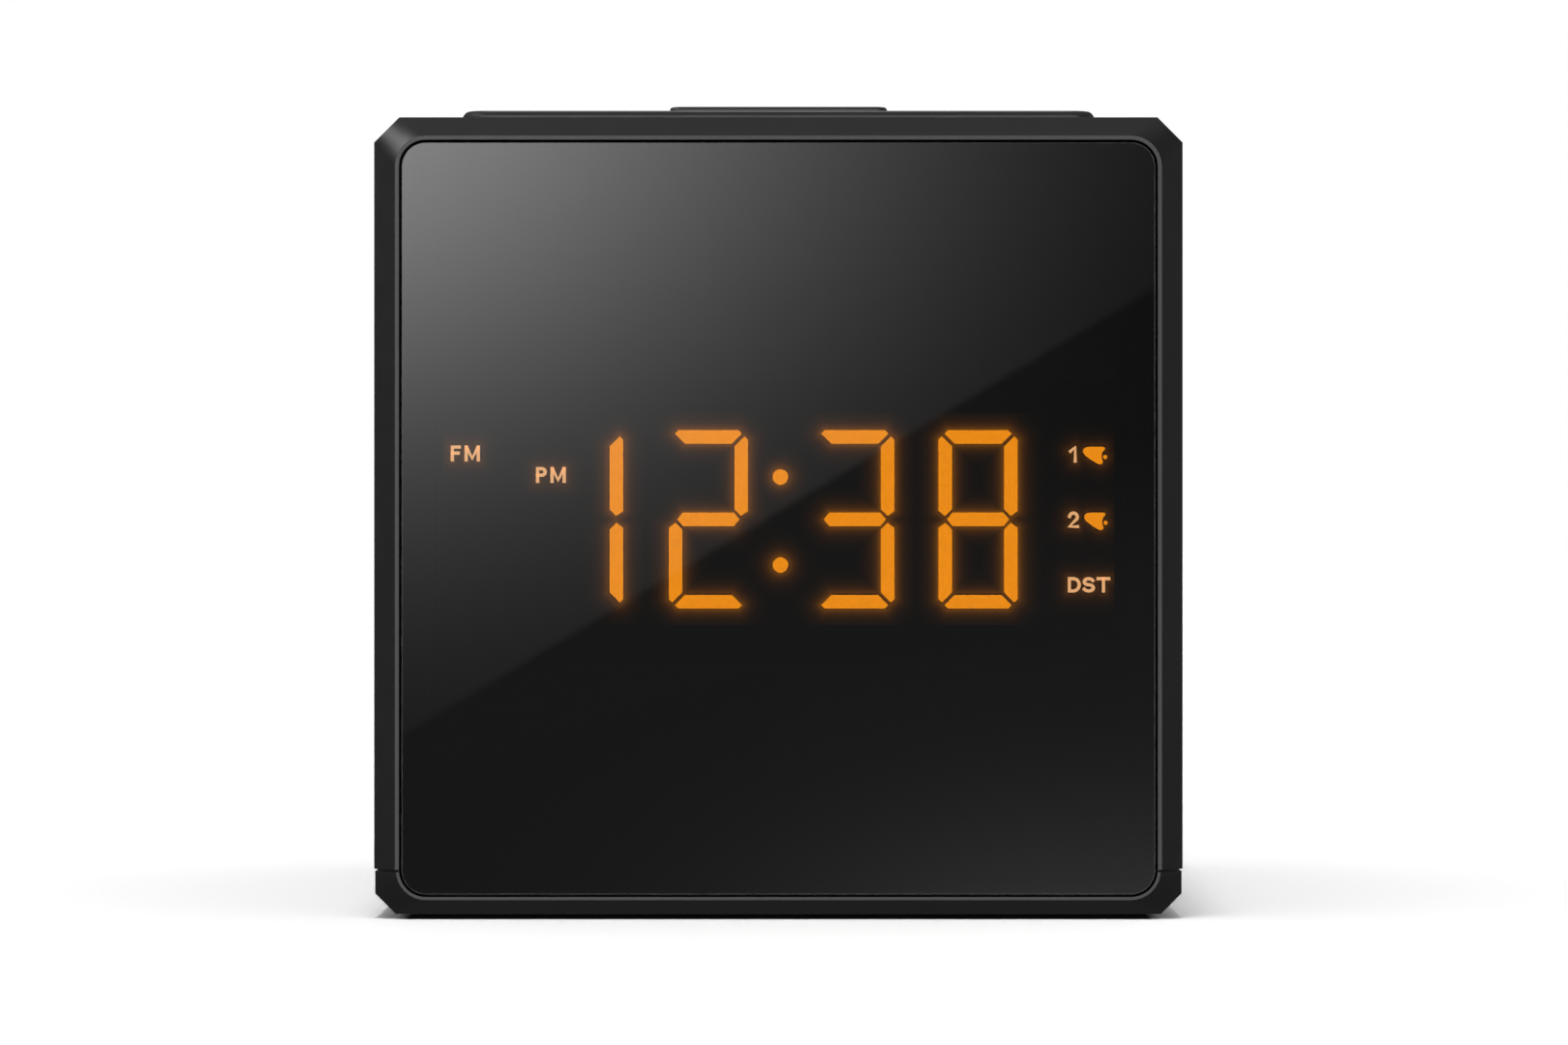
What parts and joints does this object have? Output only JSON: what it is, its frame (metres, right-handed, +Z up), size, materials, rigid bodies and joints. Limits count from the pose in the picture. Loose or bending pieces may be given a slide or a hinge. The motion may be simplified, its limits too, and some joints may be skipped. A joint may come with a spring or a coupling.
{
  "type": "tabletop clock radio",
  "caption": "Cube-shaped black clock radio with a smoked window, an amber digit display, top keys, side dials, a rear speaker and a backup cell drawer.",
  "frame": {"origin": "on the table, under the middle of the case", "axes": "+X to the right as the clock is read, +Y to the rear, +Z up"},
  "size_m": [0.1034, 0.106, 0.1023],
  "materials": {
    "case_black": "fine satin texture",
    "panel_black": "satin",
    "key_black": "satin",
    "dial_black": "satin",
    "lens_smoke": "polished smoked acrylic",
    "tape_black": "matt",
    "housing_black": "matt",
    "led_amber": "lit resin",
    "led_dark": "unlit tinted resin",
    "pcb_green": "solder resist",
    "ribbon_grey": "satin",
    "tinned_steel": "tinned",
    "screw_steel": "blackened zinc",
    "cell_steel": "polished",
    "copper_wire": "enamelled wire",
    "capacitor_blue": "printed sleeve, left blank",
    "white_plastic": "satin",
    "ferrite_grey": "pressed ferrite",
    "cone_paper": "pressed paper pulp",
    "spider_cloth": "resin-dipped cloth",
    "grille_cloth": "woven",
    "grille_metal": "satin black",
    "rubber_black": "matt",
    "lead_red": "insulated wire"
  },
  "bodies": {
    "root": {"cabinet": "case_black", "base_cover": "case_black", "rear_cover": "case_black", "top_panel": "panel_black", "front_lens": "lens_smoke", "lens_tape": "tape_black", "display_housing": "housing_black", "lit_segments": "led_amber", "unlit_segments": "led_dark", "legend_windows": "led_dark", "display_board": "pcb_green", "display_leds": "white_plastic", "display_ribbon": "ribbon_grey", "main_board": "pcb_green", "tuner_shield": "tinned_steel", "board_chips": "housing_black", "capacitors": "capacitor_blue", "board_connectors": "white_plastic", "ferrite_rod": "ferrite_grey", "ferrite_coil": "copper_wire", "rod_holders": "white_plastic", "transformer_core": "tinned_steel", "transformer_coil": "copper_wire", "transformer_bracket": "tinned_steel", "key_board": "pcb_green", "switch_bodies": "tinned_steel", "key_ribbon": "ribbon_grey", "speaker_basket": "tinned_steel", "speaker_magnet": "ferrite_grey", "speaker_surround": "rubber_black", "speaker_spider": "spider_cloth", "internal_leads": "lead_red", "speaker_grille": "grille_metal", "grille_cloth": "grille_cloth", "battery_contacts": "tinned_steel", "rubber_feet": "rubber_black", "case_screws": "screw_steel", "board_screws": "screw_steel", "cord_gland": "rubber_black", "volume_control": "tinned_steel", "tuning_capacitor": "white_plastic", "band_switch_body": "tinned_steel"},
    "snooze": {"snooze_bar": "key_black"},
    "alarm_1": {"alarm_1_key": "key_black"},
    "alarm_2": {"alarm_2_key": "key_black"},
    "radio": {"radio_key": "key_black"},
    "off": {"off_key": "key_black"},
    "sleep": {"sleep_key": "key_black"},
    "time_minus": {"time_minus_key": "key_black"},
    "clock": {"clock_key": "key_black"},
    "time_plus": {"time_plus_key": "key_black"},
    "volume_dial": {"volume_dial": "dial_black"},
    "tuning_dial": {"tuning_dial": "dial_black"},
    "band_switch": {"band_switch": "dial_black"},
    "battery_drawer": {"battery_tray": "dial_black", "coin_cell": "cell_steel", "tray_screw": "screw_steel"},
    "speaker_cone": {"speaker_cone": "cone_paper", "dust_cap": "cone_paper", "voice_coil": "copper_wire"}
  },
  "joints": [
    {"name": "snooze_press", "type": "slide", "parent": "root", "child": "snooze", "axis": [0, 0, -1], "range_m": [0, 0.0008], "stiffness_N_per_m": 700, "springref_m": -0.0003},
    {"name": "alarm_1_press", "type": "slide", "parent": "root", "child": "alarm_1", "axis": [0, 0, -1], "range_m": [0, 0.0005], "stiffness_N_per_m": 600, "springref_m": -0.0003},
    {"name": "alarm_2_press", "type": "slide", "parent": "root", "child": "alarm_2", "axis": [0, 0, -1], "range_m": [0, 0.0005], "stiffness_N_per_m": 600, "springref_m": -0.0003},
    {"name": "radio_press", "type": "slide", "parent": "root", "child": "radio", "axis": [0, 0, -1], "range_m": [0, 0.0005], "stiffness_N_per_m": 600, "springref_m": -0.0003},
    {"name": "off_press", "type": "slide", "parent": "root", "child": "off", "axis": [0, 0, -1], "range_m": [0, 0.0005], "stiffness_N_per_m": 600, "springref_m": -0.0003},
    {"name": "sleep_press", "type": "slide", "parent": "root", "child": "sleep", "axis": [0, 0, -1], "range_m": [0, 0.0005], "stiffness_N_per_m": 600, "springref_m": -0.0003},
    {"name": "time_minus_press", "type": "slide", "parent": "root", "child": "time_minus", "axis": [0, 0, -1], "range_m": [0, 0.0005], "stiffness_N_per_m": 600, "springref_m": -0.0003},
    {"name": "clock_press", "type": "slide", "parent": "root", "child": "clock", "axis": [0, 0, -1], "range_m": [0, 0.0005], "stiffness_N_per_m": 600, "springref_m": -0.0003},
    {"name": "time_plus_press", "type": "slide", "parent": "root", "child": "time_plus", "axis": [0, 0, -1], "range_m": [0, 0.0005], "stiffness_N_per_m": 600, "springref_m": -0.0003},
    {"name": "volume_turn", "type": "hinge", "parent": "root", "child": "volume_dial", "pos_m": [-0.0387, 0.014, 0.028], "axis": [0, 0, 1], "range_deg": [-135, 135]},
    {"name": "tuning_turn", "type": "hinge", "parent": "root", "child": "tuning_dial", "pos_m": [0.0387, 0.014, 0.028], "axis": [0, 0, 1], "range_deg": [-90, 90]},
    {"name": "band_slide", "type": "slide", "parent": "root", "child": "band_switch", "axis": [1, 0, 0], "range_m": [0, 0.003]},
    {"name": "drawer_slide", "type": "slide", "parent": "root", "child": "battery_drawer", "axis": [0, 1, 0], "range_m": [0, 0.026]},
    {"name": "cone_travel", "type": "slide", "parent": "root", "child": "speaker_cone", "axis": [0, 1, 0], "range_m": [-0.001, 0.001], "stiffness_N_per_m": 1500, "deforming": ["speaker_surround", "speaker_spider"]}
  ]
}
